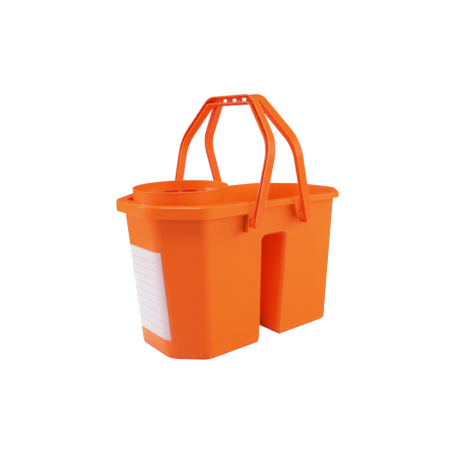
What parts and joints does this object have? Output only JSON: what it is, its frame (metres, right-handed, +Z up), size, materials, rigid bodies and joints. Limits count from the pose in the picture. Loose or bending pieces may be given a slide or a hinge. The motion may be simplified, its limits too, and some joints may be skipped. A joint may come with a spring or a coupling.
{
  "type": "double mop bucket",
  "caption": "Moulded double mop bucket: two wells joined at the top with a slot between, a lift-off wringer basket on the front well and two hinged carrying bails.",
  "frame": {"origin": "on the floor, under the middle of the bucket's overall length and width", "axes": "+X towards the rear well, away from the wringer; +Y across; +Z up"},
  "size_m": [0.5032, 0.2848, 0.4881],
  "materials": {
    "bucket": "glossy moulded polypropylene",
    "wringer": "glossy moulded polypropylene",
    "bail": "glossy moulded polypropylene",
    "label": "plain paper sticker"
  },
  "bodies": {
    "bucket": {"double_bucket": "bucket", "front_label": "label"},
    "wringer": {"wringer_basket": "wringer"},
    "front_handle": {"front_bail": "bail"},
    "rear_handle": {"rear_bail": "bail"}
  },
  "joints": [
    {"name": "front_bail_swing", "type": "hinge", "parent": "bucket", "child": "front_handle", "pos_m": [-0.0654, 0, 0.252], "axis": [0, -1, 0], "range_deg": [0, 146]},
    {"name": "rear_bail_swing", "type": "hinge", "parent": "bucket", "child": "rear_handle", "pos_m": [0.0706, 0, 0.252], "axis": [0, 1, 0], "range_deg": [0, 148]},
    {"name": "wringer_lift", "type": "slide", "parent": "bucket", "child": "wringer", "axis": [0, 0, 1], "range_m": [0, 0.14]}
  ]
}
